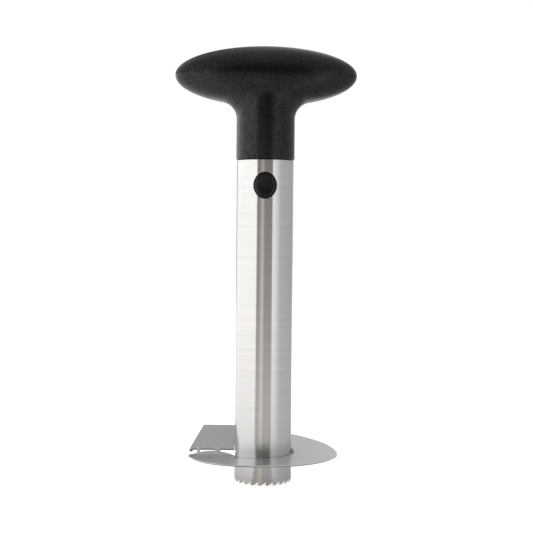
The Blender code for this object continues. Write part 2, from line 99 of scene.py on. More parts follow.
# azimuth in degrees, then how far the disc's rim and bore are set up or down there
BLADE_SET_SHARES = (
    (180, -0.53, -0.56),
    (225, 0.08, -0.36),
    (270, 0.42, 0.0),
    (315, 0.25, 0.03),
    (360, -0.06, 0.08),
    (405, 0.39, 0.33),
    (430, 0.80, 0.58),
    (460, 1.0, 0.80),
    (505, 0.67, 0.61),
)
FIN_ANGLE = math.radians(34.0)
FIN_LENGTH = 23.5 * MM
FIN_FOOT = 4.6 * MM
FIN_CORNER_DROP = 1.5 * MM
FIN_ROWS = 26
TONGUE_BULGE = 3.1 * MM
TONGUE_ROWS = 4
RIB_PLACES = ((23.662 * MM, 26.762 * MM), (35.2028 * MM, 36.8028 * MM))
RIM_LIP = 0.38 * MM
RIB_COLUMNS = 8
RIB_BRIDGE_ROWS = 3
RIB_HEIGHT = 0.32 * MM
RIB_RUN_DOWN = 2.4 * MM
RIB_RUN_UP = 7.5 * MM
# the blade's material slots: rolled faces, sheared edges darkened as painted shade, and the
# polished rim and bevels brightened as a painted highlight
ROLLED, SHEARED_PAINTED_SHADE, POLISHED_PAINTED_HIGHLIGHT = 0, 1, 2

# Weld beads: each one's azimuth in degrees, and 1 above the blade or -1 under it
WELD_PLACES = ((360, 1), (450, -1), (215, -1), (325, -1))
WELD_LEG = 1.5 * MM
WELD_LENGTH = 5.8 * MM
WELD_STEPS = 60
WELD_RIPPLES = 9
WELD_RIPPLE_SHARE = 0.09
WELD_TAPER_POWER = 6
WELD_END_SHARE = 0.25
WELD_SHARP_DEGREES = 50
# the bead's cross section: out from the tube and away from the blade, as shares of its leg
WELD_SECTION_SHARES = ((0.0, 0.0), (1.0, 0.0), (0.85, 0.3), (0.6, 0.6), (0.3, 0.85), (0.0, 1.0))

# Grip
GRIP_LOW, GRIP_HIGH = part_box("handle_grip")
GRIP_HALF_LENGTH = GRIP_HIGH.x
GRIP_HALF_DEPTH = GRIP_HIGH.y
GRIP_DOME_HEIGHT = 16.1 * MM
GRIP_BELLY_DEPTH = 17.0 * MM
GRIP_HEAD_HEIGHT = GRIP_HIGH.z - GRIP_DOME_HEIGHT
GRIP_FILLET = 9.5 * MM
NECK_RADIUS = 16.2 * MM
NECK_FOOT = GRIP_LOW.z
NECK_ROUND = 0.5 * MM
GRIP_SIDES = 160
DOME_RINGS = 30
BELLY_RINGS = 18
FILLET_RINGS = 16
FILLET_SEARCH_STEPS = 40
NECK_ROUND_STEPS = 4
GRIP_SHARP_DEGREES = 40
SOCKET_RADIUS = 13.4 * MM
SOCKET_TOP = NECK_FOOT + 21.0 * MM
SCREW_OFFSET = 10.5 * MM
PILOT_RADIUS = 1.7 * MM
PILOT_TOP = SOCKET_TOP + 9.3 * MM
PILOT_SIDES = 32

# Push buttons
BUTTON_HEIGHT = 163.4 * MM
BUTTON_HALF_WIDTH = 6.15 * MM
BUTTON_HALF_HEIGHT = 7.05 * MM
BUTTON_FACE = -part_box("button_front")[0].y
BUTTON_INNER_END = 4.5 * MM
BUTTON_FLANGE = 1.45 * MM
BUTTON_FLANGE_FACE = 10.2 * MM
BUTTON_FLANGE_THICKNESS = 1.6 * MM
BUTTON_STEM_SLIMMING = 1.0 * MM
BUTTON_ROUND = 0.75 * MM
BUTTON_SLIMMING = 0.3 * MM
BUTTON_ROUND_STEPS = 6
BUTTON_DISH = 0.35 * MM
BUTTON_DISH_SHARES = (0.15, 0.3, 0.5, 0.7, 0.88)
BUTTON_SIDES = 96
BUTTON_SHARP_DEGREES = 40
CUP_RADIUS = 3.7 * MM
CUP_DEPTH = 4.0 * MM

# Screws that hold the plug to the grip
SCREW_RADIUS = 1.4 * MM
SCREW_HEAD_RADIUS = 2.4 * MM
SCREW_HEAD_HEIGHT = 2.0 * MM
SCREW_TIP = 2.0 * MM
SCREW_POINT = 0.25 * MM
SCREW_HEAD_FACE_SHARE = 0.8
SCREW_HEAD_FLARE_SHARE = 0.2
SCREW_HEAD_ROUND_SHARE = 0.25
SCREW_HEAD_STEPS = 5
SCREW_SIDES = 48
SCREW_SHARP_DEGREES = 35
RECESS_WIDTH = 0.65 * MM
RECESS_LENGTH = 2.7 * MM
RECESS_DEPTH = 1.0 * MM
RECESS_OVERRUN = RECESS_DEPTH / 4
RECESS_FLOOR_SHARE = 0.75

# Coil spring between the buttons
SPRING_WIRE = 0.7 * MM
SPRING_RADIUS = 2.9 * MM
SPRING_TURNS = 7
SPRING_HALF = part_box("button_spring")[1].y - SPRING_WIRE / 2
COIL_STEPS = 28
COIL_PROBE_SHARE = 0.001
WIRE_SIDES = 12
WIRE_SHARP_DEGREES = 60

# Bands of the textures' values that the colours and the roughness spread over
LINE_TONE_BAND = (0.35, 0.65)
LINE_BAND = (0.3, 0.7)
PIT_TONE_BAND = (0.5, 1.0)
PIT_BAND = (0.5, 1.3)
TINT_TONE_BAND = (0.3, 0.7)
TINT_BAND = (0.0, 1.0)
TINT_SCALE = 420.0

# Studio
WHITE = (1.0, 1.0, 1.0, 1.0)
FLOOR_COLOUR = (0.85, 0.85, 0.85, 1.0)
FLOOR_GLOW = 0.75
FLOOR_HALF = 3.0
FLOOR_LEVEL = -0.2 * MM
ROOM_STRENGTH = 0.5
SOFTBOX_DISTANCE = 1.3
SOFTBOX_LOW, SOFTBOX_HIGH = -0.5, 1.3
SOFTBOX_RADIANCE = 0.8
CARD_LEVEL = -0.1 * MM
CARD_REACH = 1.24
CARD_TOP = 1.5
CARD_FLOOR_RADII = (0.0162, 0.03, 0.1, 0.23, 0.73)
CARD_HEIGHTS = (0.0, 0.08, 0.26, 0.31, 0.38, 0.75, CARD_TOP)
CARD_STEPS = 12
# how far the warm strip stands in front of the cards and above them
STRIP_FORWARD = 0.01
STRIP_UP = 0.0005
WARM_COLOUR = (1.0, 0.93, 0.86)
CEILING_RADII = (0.02, 0.18, 0.22, 0.42, 0.46, 1.3)

# Camera, from the photograph's frame
IMAGE_SIDE_PX = 533
HORIZON_PX = 220.0
AXIS_OFFSET_PX = 1.63
MM_PER_PX = 0.5575 * MM
CAMERA_DISTANCE = 0.605
EYE_HEIGHT = 144.5 * MM
CAMERA_ROLL = math.radians(0.52)
SENSOR = 36.0


def even_steps(start, end, count):
    return [start + (end - start) * i / count for i in range(count + 1)]


def shade(mesh, sharp_degrees):
    """Smooth shading up to an angle."""
    mesh.shade_smooth()
    mesh.set_sharp_from_angle(angle=math.radians(sharp_degrees))


def new_piece(name, work, material, sharp_degrees=30):
    """Turns a bmesh into an object."""
    bmesh.ops.recalc_face_normals(work, faces=work.faces)
    mesh = bpy.data.meshes.new(name)
    work.to_mesh(mesh)
    work.free()
    piece = bpy.data.objects.new(name, mesh)
    bpy.context.scene.collection.objects.link(piece)
    if material:
        mesh.materials.append(material)
    shade(mesh, sharp_degrees)
    return piece


def skin_rings(work, rings):
    """Faces between each ring of points and the next one."""
    rows = [[work.verts.new(point) for point in ring] for ring in rings]
    count = len(rows[0])
    for lower, upper in zip(rows, rows[1:]):
        for i in range(count):
            j = (i + 1) % count
            work.faces.new((lower[i], lower[j], upper[j], upper[i]))
    return rows


def closed_skin(rings):
    """A bmesh skinned over the rings and closed at both ends."""
    work = bmesh.new()
    rows = skin_rings(work, rings)
    work.faces.new(rows[0])
    work.faces.new(rows[-1])
    return work


def fan(work, row, apex):
    """Faces from a ring of vertices to one point."""
    top = work.verts.new(apex)
    for i, vertex in enumerate(row):
        work.faces.new((vertex, row[(i + 1) % len(row)], top))


def round_ring(radius, height, sides, centre=(0.0, 0.0)):
    x, y = centre
    turns = [math.tau * i / sides for i in range(sides)]
    return [Vector((x + radius * math.cos(t), y + radius * math.sin(t), height)) for t in turns]


def oval_ring(half_x, half_z, depth, sides):
    turns = [math.tau * i / sides for i in range(sides)]
    return [Vector((half_x * math.cos(t), depth, half_z * math.sin(t))) for t in turns]


def turned_cutter(name, profile, sides, centre=(0.0, 0.0)):
    work = closed_skin([round_ring(r, z, sides, centre) for r, z in profile])
    return new_piece(name, work, None)


def oval_cutter(name, half_x, half_z, near, far, height):
    work = closed_skin([oval_ring(half_x, half_z, y, HOLE_SIDES) for y in (near, far)])
    for vertex in work.verts:
        vertex.co.z += height
    return new_piece(name, work, None)


def cut_away(piece, cutter):
    """Cuts the cutter's shape out of the piece for good, and removes the cutter."""
    boolean = piece.modifiers.new("cut", "BOOLEAN")
    boolean.operation = "DIFFERENCE"
    boolean.solver = "EXACT"
    boolean.object = cutter
    settle(piece)
    bpy.data.objects.remove(cutter)


def settle(piece):
    """Applies the piece's modifiers to its mesh."""
    graph = bpy.context.evaluated_depsgraph_get()
    graph.update()
    mesh = bpy.data.meshes.new_from_object(piece.evaluated_get(graph))
    piece.modifiers.clear()
    piece.data = mesh


def round_edges(piece, width, degrees):
    """Rounds the edges that are sharper than an angle."""
    bevel = piece.modifiers.new("round_edges", "BEVEL")
    bevel.width = width
    bevel.segments = EDGE_ROUND_SEGMENTS
    bevel.limit_method = "ANGLE"
    bevel.angle_limit = math.radians(degrees)
    bevel.harden_normals = True
    bevel.use_clamp_overlap = True
    settle(piece)


# Nodes, shared effects and materials


class NodeTree:
    """A short way to add nodes and links to one node tree."""

    def __init__(self, tree):
        self.tree = tree

    def add(self, kind, values=None, **settings):
        node = self.tree.nodes.new(kind)
        for key, value in settings.items():
            setattr(node, key, value)
        for key, value in (values or {}).items():
            if isinstance(value, bpy.types.NodeSocket):
                self.tree.links.new(value, node.inputs[key])
            else:
                node.inputs[key].default_value = value
        return node

    def link(self, output, node, socket):
        self.tree.links.new(output, node.inputs[socket])

    def between(self, value, band, low, high):
        """A value that runs from low to high while the given one crosses its band."""
        ends = {"From Min": band[0], "From Max": band[1], "To Min": low, "To Max": high}
        return self.add("ShaderNodeMapRange", {"Value": value, **ends}).outputs["Result"]

    def two_tone(self, mask, band, low, high):
        """A colour that runs from low to high while the mask crosses its band."""
        ramp = self.add("ShaderNodeValToRGB", {"Fac": mask})
        for element, place, colour in zip(ramp.color_ramp.elements, band, (low, high)):
            element.position = place
            element.color = (*colour, 1.0)
        return ramp.outputs["Color"]


def new_group(name, inputs, outputs):
    group = bpy.data.node_groups.new(name, "ShaderNodeTree")
    for socket, kind, value in inputs:
        item = group.interface.new_socket(socket, in_out="INPUT", socket_type=kind)
        if value is not None:
            item.default_value = value
    for socket, kind in outputs:
        group.interface.new_socket(socket, in_out="OUTPUT", socket_type=kind)
    nodes = NodeTree(group)
    return nodes, nodes.add("NodeGroupInput"), nodes.add("NodeGroupOutput")


def brushed_lines_group():
    """Long fine scratches: a height for colour and roughness, and a bumped normal."""
    nodes, source, result = new_group(
        "brushed_lines",
        [
            ("Place", "NodeSocketVector", None),
            ("Depth", "NodeSocketFloat", 0.00001),
        ],
        [("Lines", "NodeSocketFloat"), ("Normal", "NodeSocketVector")],
    )
    fine = nodes.add(
        "ShaderNodeTexNoise",
        {"Vector": source.outputs["Place"], "Scale": 1.0, "Detail": 4.0, "Roughness": 0.7},
    )
    wide = nodes.add(
        "ShaderNodeTexNoise",
        {"Vector": source.outputs["Place"], "Scale": 0.16, "Detail": 2.0, "Roughness": 0.5},
    )
    both = nodes.add(
        "ShaderNodeMath",
        {0: fine.outputs["Fac"], 1: wide.outputs["Fac"]},
        operation="ADD",
    )
    half = nodes.add("ShaderNodeMath", {0: both.outputs[0], 1: 0.5}, operation="MULTIPLY")
    bump = nodes.add(
        "ShaderNodeBump",
        {"Height": half.outputs[0], "Distance": source.outputs["Depth"], "Strength": 1.0},
    )
    nodes.link(half.outputs[0], result, "Lines")
    nodes.link(bump.outputs["Normal"], result, "Normal")
    return nodes.tree


def moulded_grain_group():
    """Spark-grained moulded plastic: a mask of pits and a bumped normal."""
    nodes, source, result = new_group(
        "moulded_grain",
        [
            ("Place", "NodeSocketVector", None),
            ("Grain Scale", "NodeSocketFloat", 1600.0),
            ("Depth", "NodeSocketFloat", 0.00003),
        ],
        [("Pits", "NodeSocketFloat"), ("Normal", "NodeSocketVector")],
    )
    coarse = nodes.add(
        "ShaderNodeTexVoronoi",
        {"Vector": source.outputs["Place"], "Scale": source.outputs["Grain Scale"]},
        feature="SMOOTH_F1",
    )
    fine = nodes.add(
        "ShaderNodeTexNoise",
        {
            "Vector": source.outputs["Place"],
            "Scale": source.outputs["Grain Scale"],
            "Detail": 3.0,
            "Roughness": 0.65,
        },
    )
    both = nodes.add(
        "ShaderNodeMath",
        {0: coarse.outputs["Distance"], 1: fine.outputs["Fac"]},
        operation="ADD",
    )
    bump = nodes.add(
        "ShaderNodeBump",
        {"Height": both.outputs[0], "Distance": source.outputs["Depth"], "Strength": 1.0},
    )
    nodes.link(both.outputs[0], result, "Pits")
    nodes.link(bump.outputs["Normal"], result, "Normal")
    return nodes.tree


def new_material(name, **sockets):
    """A material whose constant values sit on its own shader."""
    material = bpy.data.materials.new(name)
    material.use_nodes = True
    shader = material.node_tree.nodes["Principled BSDF"]
    for socket, value in sockets.items():
        shader.inputs[socket.replace("_", " ")].default_value = value
    return material, NodeTree(material.node_tree), shader


def scratches(nodes, place, stretch, lines):
    """The shared scratches, scaled along X, Y and Z by stretch."""
    scaled = nodes.add("ShaderNodeVectorMath", {0: place, 1: stretch}, operation="MULTIPLY")
    return nodes.add("ShaderNodeGroup", {"Place": scaled.outputs[0]}, node_tree=lines)


def brushed_steel(name, stretch, colour, spread, roughness, lines, anisotropy=0.0, tangent=None):
    """Brushed stainless steel.

    stretch scales the scratches along X, Y and Z. spread is how far the colour runs to
    either side, as a share. roughness is a pair. tangent is an axis with a turn round it."""
    material, nodes, shader = new_material(name, Metallic=1.0, Anisotropic=anisotropy)
    place = nodes.add("ShaderNodeTexCoord").outputs["Object"]
    brushed = scratches(nodes, place, stretch, lines)
    mask = brushed.outputs["Lines"]
    low = [c * (1.0 - spread) for c in colour]
    high = [min(1.0, c * (1.0 + spread)) for c in colour]
    nodes.link(nodes.two_tone(mask, LINE_TONE_BAND, low, high), shader, "Base Color")
    nodes.link(nodes.between(mask, LINE_BAND, *roughness), shader, "Roughness")
    nodes.link(brushed.outputs["Normal"], shader, "Normal")
    if tangent:
        axis, turn = tangent
        shader.inputs["Anisotropic Rotation"].default_value = turn
        way = nodes.add("ShaderNodeTangent", direction_type="RADIAL", axis=axis)
        nodes.link(way.outputs["Tangent"], shader, "Tangent")
    return material


def moulded_plastic(name, colour, lift, roughness, specular, grain_scale, depth, grain):
    """Moulded plastic with a fine grain.

    lift is how much lighter its pits are. roughness and specular are pairs that run from
    its tips to its pits."""
    material, nodes, shader = new_material(name)
    place = nodes.add("ShaderNodeTexCoord").outputs["Object"]
    values = {"Place": place, "Grain Scale": grain_scale, "Depth": depth}
    pitted = nodes.add("ShaderNodeGroup", values, node_tree=grain)
    mask = pitted.outputs["Pits"]
    high = [c * lift for c in colour]
    nodes.link(nodes.two_tone(mask, PIT_TONE_BAND, colour, high), shader, "Base Color")
    nodes.link(nodes.between(mask, PIT_BAND, *roughness), shader, "Roughness")
    nodes.link(nodes.between(mask, PIT_BAND, *specular), shader, "Specular IOR Level")
    nodes.link(pitted.outputs["Normal"], shader, "Normal")
    return material


def welded_steel(lines):
    """Weld bead: duller than the steel round it, with straw and blue heat tints."""
    material, nodes, shader = new_material("weld_bead_steel", Metallic=1.0)
    place = nodes.add("ShaderNodeTexCoord").outputs["Object"]
    tint = nodes.add("ShaderNodeTexNoise", {"Vector": place, "Scale": TINT_SCALE, "Detail": 3.0})
    mask = tint.outputs["Fac"]
    straw, blue = (0.42, 0.36, 0.27), (0.52, 0.54, 0.58)
    nodes.link(nodes.two_tone(mask, TINT_TONE_BAND, straw, blue), shader, "Base Color")
    nodes.link(nodes.between(mask, TINT_BAND, low=0.28, high=0.55), shader, "Roughness")
    brushed = scratches(nodes, place, stretch=(900, 900, 900), lines=lines)
    nodes.link(brushed.outputs["Normal"], shader, "Normal")
    return material


# Pieces


def tube_columns():
    """(azimuth, height) pairs round the toothed foot, with a hollow back to each tooth."""
    pitch = math.tau / TOOTH_COUNT
    land = TOOTH_LAND / TUBE_RADIUS
    columns = []
    for tooth in range(TOOTH_COUNT):
        start = TOOTH_PHASE + tooth * pitch
        columns.append((start, 0.0))
        for step in range(TOOTH_BACK_STEPS + 1):
            share = step / TOOTH_BACK_STEPS
            turn = land + share * (TOOTH_BACK_SHARE * pitch - land)
            columns.append((start + turn, TOOTH_DEPTH * share**TOOTH_BACK_POWER))
    return columns


def build_tube(material):
    """The toothed tube with its two button holes."""
    columns = tube_columns()
    bore = TUBE_RADIUS - TUBE_WALL

    def ring(radius, height=None):
        return [
            Vector((radius * math.cos(a), radius * math.sin(a), z if height is None else height))
            for a, z in columns
        ]

    first_row = TOOTH_DEPTH + TUBE_WALL
    heights = even_steps(first_row, TUBE_TOP - TUBE_RIM, TUBE_ROWS)
    rings = [ring(TUBE_RADIUS)]
    rings += [ring(TUBE_RADIUS, z) for z in heights]
    rings += [ring(TUBE_RADIUS - TUBE_RIM, TUBE_TOP), ring(bore + TUBE_RIM, TUBE_TOP)]
    rings += [ring(bore, z) for z in reversed(heights)]
    rings += [ring(bore), ring(TUBE_RADIUS)]
    work = bmesh.new()
    skin_rings(work, rings)
    bmesh.ops.remove_doubles(work, verts=work.verts, dist=MERGE_DISTANCE)
    tube = new_piece("brushed_coring_tube", work, material)
    reach = TUBE_RADIUS + TUBE_WALL
    holes = oval_cutter(
        "hole_cutter",
        BUTTON_HALF_WIDTH + HOLE_CLEARANCE,
        BUTTON_HALF_HEIGHT + HOLE_CLEARANCE,
        -reach,
        reach,
        BUTTON_HEIGHT,
    )
    cut_away(tube, holes)
    shade(tube.data, TUBE_SHARP_DEGREES)
    round_edges(tube, EDGE_ROUND, EDGE_ROUND_DEGREES)
    shade_as_cylinder(tube, (TUBE_RADIUS, bore))
    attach(tube, "corer")
    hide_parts("corer_tube")


def shade_as_cylinder(piece, radii):
    """Gives the faces that lie on these radii a true cylinder's normals, up to the holes."""
    mesh = piece.data
    normals = [Vector(corner.vector) for corner in mesh.corner_normals]
    for face in mesh.polygons:
        places = [mesh.vertices[i].co.to_2d() for i in face.vertices]
        middle = face.center.to_2d().normalized()
        facing = face.normal.to_2d().dot(middle)
        on_wall = any(all(abs(p.length - r) < WALL_TOLERANCE for p in places) for r in radii)
        if on_wall and abs(facing) > UPRIGHT_SHARE:
            for corner, place in zip(face.loop_indices, places):
                outward = place.normalized().to_3d()
                normals[corner] = outward if facing > 0 else -outward
    mesh.normals_split_custom_set(normals)


def blade_set(azimuth, radius):
    """Height of the disc's top face, on smooth curves through the shares at rim and bore."""
    degrees = math.degrees(azimuth)
    knots = BLADE_SET_SHARES
    last = len(knots) - 2
    index = max(i for i in range(last + 1) if knots[i][0] <= degrees or i == 0)
    before, after = knots[index], knots[index + 1]
    span = after[0] - before[0]
    t = (degrees - before[0]) / span
    values = []
    for column in (1, 2):
        slopes = []
        for k in (index, index + 1):
            low, high = knots[max(k - 1, 0)], knots[min(k + 1, last + 1)]
            slopes.append((high[column] - low[column]) / (high[0] - low[0]) * span)
        values.append(
            before[column] * (2 * t**3 - 3 * t**2 + 1)
            + slopes[0] * (t**3 - 2 * t**2 + t)
            + after[column] * (3 * t**2 - 2 * t**3)
            + slopes[1] * (t**3 - t**2)
        )
    across = (radius - BLADE_BORE_RADIUS) / (BLADE_RADIUS - BLADE_BORE_RADIUS)
    share = values[1] + (values[0] - values[1]) * across
    return BLADE_HEIGHT + share * BLADE_SET


def disc_point(azimuth, radius):
    """A point on the disc's top face."""
    z = blade_set(azimuth, radius)
    return Vector((radius * math.cos(azimuth), radius * math.sin(azimuth), z))


def fin_point(radius, along):
    """A point on the fin's top face, by its distance from the bend."""
    root = disc_point(BEND_AZIMUTH, radius)
    return root + Vector((0.0, math.cos(FIN_ANGLE), math.sin(FIN_ANGLE))) * along


def blade_radii():
    """The blade's rows from bore to rim, closer together across the ribs."""
    stops = [BLADE_BORE_RADIUS]
    for low, high in RIB_PLACES:
        stops += [low, high]
    stops.append(BLADE_RADIUS - BLADE_RIM_BEVEL)
    radii = [stops[0]]
    for i, (low, high) in enumerate(zip(stops, stops[1:])):
        in_rib = i % 2 == 1
        count = RIB_COLUMNS if in_rib else max(1, round((high - low) / BLADE_ROW_SPACING))
        radii += even_steps(low, high, count)[1:]
    return radii


def rib_lift(radius, along):
    """How far the pressed ribs stand up, by distance from the axis and from the bend."""
    if not -RIB_RUN_DOWN < along < RIB_RUN_UP:
        return 0.0
    if along < 0:
        fade = 1.0 + along / RIB_RUN_DOWN
    else:
        fade = min(1.0, (RIB_RUN_UP - along) / (RIB_RUN_UP - FIN_FOOT))
    fade = fade * fade * (3.0 - 2.0 * fade)
    for low, high in RIB_PLACES:
        across = abs(2.0 * (radius - low) / (high - low) - 1.0)
        if across < 1.0:
            return RIB_HEIGHT * fade * math.cos(across * math.pi / 2) ** 2
    return 0.0


def build_blade(materials):
    """The disc and its fin. materials are for the faces, the sheared edges (darkened as painted
    shade) and the rim's lip (brightened as a painted highlight).
    """
    radii = blade_radii()
    outer = len(radii) - 1
    z_up = Vector((0.0, 0.0, 1.0))
    fin_up = Vector((0.0, -math.sin(FIN_ANGLE), math.cos(FIN_ANGLE)))
    bend_up = (z_up + fin_up) / (1.0 + math.cos(FIN_ANGLE))
    chord = radii[outer] - BLADE_BORE_RADIUS
    work = bmesh.new()

    def pair(top, under, normal, lift=0.0):
        """A vertex on the top face and the one under it."""
        high = work.verts.new(top + normal * lift)
        return high, work.verts.new(under + normal * (lift - BLADE_THICKNESS))

    def rim(top, lip, under, normal):
        """The three vertices at the rim: on top, on the small lip and on the under face."""
        high = work.verts.new(top)
        return high, work.verts.new(lip - normal * RIM_LIP), work.verts.new(
            under - normal * BLADE_THICKNESS
        )

    def sheet(rows):
        for first, second in zip(rows, rows[1:]):
            for side in (0, -1):
                for i in range(len(first) - 1):
                    corners = [first[i], first[i + 1], second[i + 1], second[i]]
                    work.faces.new([corner[side] for corner in dict.fromkeys(corners)])

    def wall(edge, finish=SHEARED_PAINTED_SHADE):
        for first, second in zip(edge, edge[1:]):
            face = work.faces.new((first[0], *second, *reversed(first[1:])))
            face.material_index = finish

    def rim_wall(edge, finish):
        wall([column[:2] for column in edge], finish)
        wall([column[1:] for column in edge], SHEARED_PAINTED_SHADE)

    def bulge(radius):
        across = (radius - BLADE_BORE_RADIUS) / chord
        return TONGUE_BULGE * 4.0 * across * (1.0 - across)

    sweep = CUTTING_EDGE_AZIMUTH - BEND_AZIMUTH
    disc = []
    for step in range(BLADE_STEPS + 1):
        azimuth = BEND_AZIMUTH + sweep * step / BLADE_STEPS
        normal = bend_up if step == 0 else z_up
        row = []
        lead = CUTTING_EDGE_BEVEL if step == BLADE_STEPS else 0.0
        for radius in radii[:outer]:
            lift = rib_lift(radius, -radius * (azimuth - BEND_AZIMUTH))
            top = disc_point(azimuth - lead / radius, radius)
            row.append(pair(top, disc_point(azimuth, radius), normal, lift))
        turn = azimuth - lead / BLADE_RADIUS
        top = disc_point(turn, BLADE_RADIUS - RIM_LIP)
        lip = disc_point(turn, BLADE_RADIUS)
        row.append(rim(top, lip, disc_point(azimuth, radii[outer]), normal))
        disc.append(row)

    tongue = [disc[0]]
    for step in range(1, TONGUE_ROWS + 1):
        row = [disc[0][0]]
        for radius in radii[1:outer]:
            along = bulge(radius) * step / TONGUE_ROWS
            point = fin_point(radius, along)
            row.append(pair(point, point, fin_up, rib_lift(radius, along)))
        row.append(disc[0][outer])
        tongue.append(row)

    foot_reach = math.sqrt(BLADE_RADIUS**2 - FIN_FOOT**2)
    tip_reach = math.sqrt(BLADE_RADIUS**2 - FIN_LENGTH**2)
    fin = []
    for step in range(FIN_ROWS + 1):
        along = FIN_FOOT + (FIN_LENGTH - FIN_FOOT) * step / FIN_ROWS
        reach = foot_reach + (tip_reach - foot_reach) * step / FIN_ROWS
        under_reach = reach - BLADE_RIM_BEVEL
        row = []
        for radius in radii[:outer]:
            straight = min(1.0, (along - FIN_FOOT) / (RIB_RUN_UP - FIN_FOOT))
            share = (radius - BLADE_BORE_RADIUS) / chord
            spread = BLADE_BORE_RADIUS + share * (reach - BLADE_BORE_RADIUS)
            place = radius + (spread - radius) * straight
            top = fin_point(place, along)
            under_place = BLADE_BORE_RADIUS + share * (under_reach - BLADE_BORE_RADIUS)
            under = fin_point(min(place, under_place), along)
            row.append(pair(top, under, fin_up, rib_lift(radius, along)))
        corner = along - (FIN_CORNER_DROP if step == 0 else 0.0)
        top, lip = fin_point(reach - RIM_LIP, corner), fin_point(reach, corner)
        row.append(rim(top, lip, fin_point(under_reach, corner), fin_up))
        fin.append(row)

    sheet(disc)
    sheet(tongue)
    sheet(fin)
    edge = tongue[-1]
    ribs = [(radii.index(low), radii.index(high)) for low, high in RIB_PLACES]
    for low, high in ribs:
        rows = [edge[low : high + 1]]
        for step in range(1, RIB_BRIDGE_ROWS):
            share = step / RIB_BRIDGE_ROWS
            row = []
            for radius in radii[low : high + 1]:
                along = bulge(radius) + (FIN_FOOT - bulge(radius)) * share
                point = fin_point(radius, along)
                row.append(pair(point, point, fin_up, rib_lift(radius, along)))
            rows.append(row)
        rows.append(fin[0][low : high + 1])
        sheet(rows)
        wall([row[0] for row in rows], ROLLED)
        wall([row[-1] for row in rows], ROLLED)
    ends = [0] + [i for rib in ribs for i in rib] + [outer]
    for low, high in zip(ends[0::2], ends[1::2]):
        wall(edge[low : high + 1])
        wall(fin[0][low : high + 1])
    wall([row[0] for row in disc])
    rim_wall([row[outer] for row in disc], POLISHED_PAINTED_HIGHLIGHT)
    wall(disc[-1], POLISHED_PAINTED_HIGHLIGHT)
    wall([row[0] for row in fin])
    rim_wall([row[outer] for row in fin], SHEARED_PAINTED_SHADE)
    wall(fin[-1])
    blade = new_piece("sprung_disc_blade", work, materials[ROLLED], BLADE_SHARP_DEGREES)
    for material in materials[SHEARED_PAINTED_SHADE:]:
        blade.data.materials.append(material)
    soften_bend(blade)
    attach(blade, "corer")
    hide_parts("slicing_blade")


def soften_bend(blade):
    """Shades the bend between disc and fin as a small radius and not as a crease."""
    vertices = blade.data.vertices
    for edge in blade.data.edges:
        ends = [vertices[i].co for i in edge.vertices]
        on_bend = all(end.x < 0 and abs(end.y) < BLADE_THICKNESS / 2 for end in ends)
        radial = abs(ends[0].x - ends[1].x) > abs(ends[0].z - ends[1].z)
        if on_bend and radial:
            edge.use_edge_sharp = False


def build_welds(material):
    """A rippled bead in each corner where the blade is tacked to the tube."""
    half_turn = WELD_LENGTH / TUBE_RADIUS / 2
    for number, (degrees, side) in enumerate(WELD_PLACES, start=1):
        rings = []
        for step in range(WELD_STEPS + 1):
            along = 2.0 * step / WELD_STEPS - 1.0
            turn = math.radians(degrees) + half_turn * along
            ripple = 0.5 + 0.5 * math.cos(along * math.pi * WELD_RIPPLES)
            taper = max(WELD_END_SHARE, (1.0 - abs(along) ** WELD_TAPER_POWER) ** 0.5)
            size = WELD_LEG * (1.0 - WELD_RIPPLE_SHARE * ripple) * taper
            face = blade_set(turn, BLADE_BORE_RADIUS) + side * SEAT_GAP
            if side < 0:
                face -= BLADE_THICKNESS
            ring = []
            for out, rise in WELD_SECTION_SHARES:
                radius = BLADE_BORE_RADIUS + out * size
                z = face + side * rise * size
                ring.append(Vector((radius * math.cos(turn), radius * math.sin(turn), z)))
            rings.append(ring)
        work = closed_skin(rings)
        bead = new_piece(f"weld_bead_{number}", work, material, WELD_SHARP_DEGREES)
        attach(bead, "corer")
        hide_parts(f"blade_weld_{number}")


def grip_azimuths():
    """Azimuths round the grip, half way between even on its round neck and on its oval."""
    azimuths = []
    for i in range(GRIP_SIDES):
        turn = math.tau * i / GRIP_SIDES
        x, y = GRIP_HALF_LENGTH * math.cos(turn), GRIP_HALF_DEPTH * math.sin(turn)
        azimuths.append((turn + math.atan2(y, x) % math.tau) / 2)
    return azimuths


def grip_reach(azimuth):
    """How far the oval head reaches out at an azimuth."""
    along, across = math.cos(azimuth) / GRIP_HALF_LENGTH, math.sin(azimuth) / GRIP_HALF_DEPTH
    return 1.0 / math.hypot(along, across)


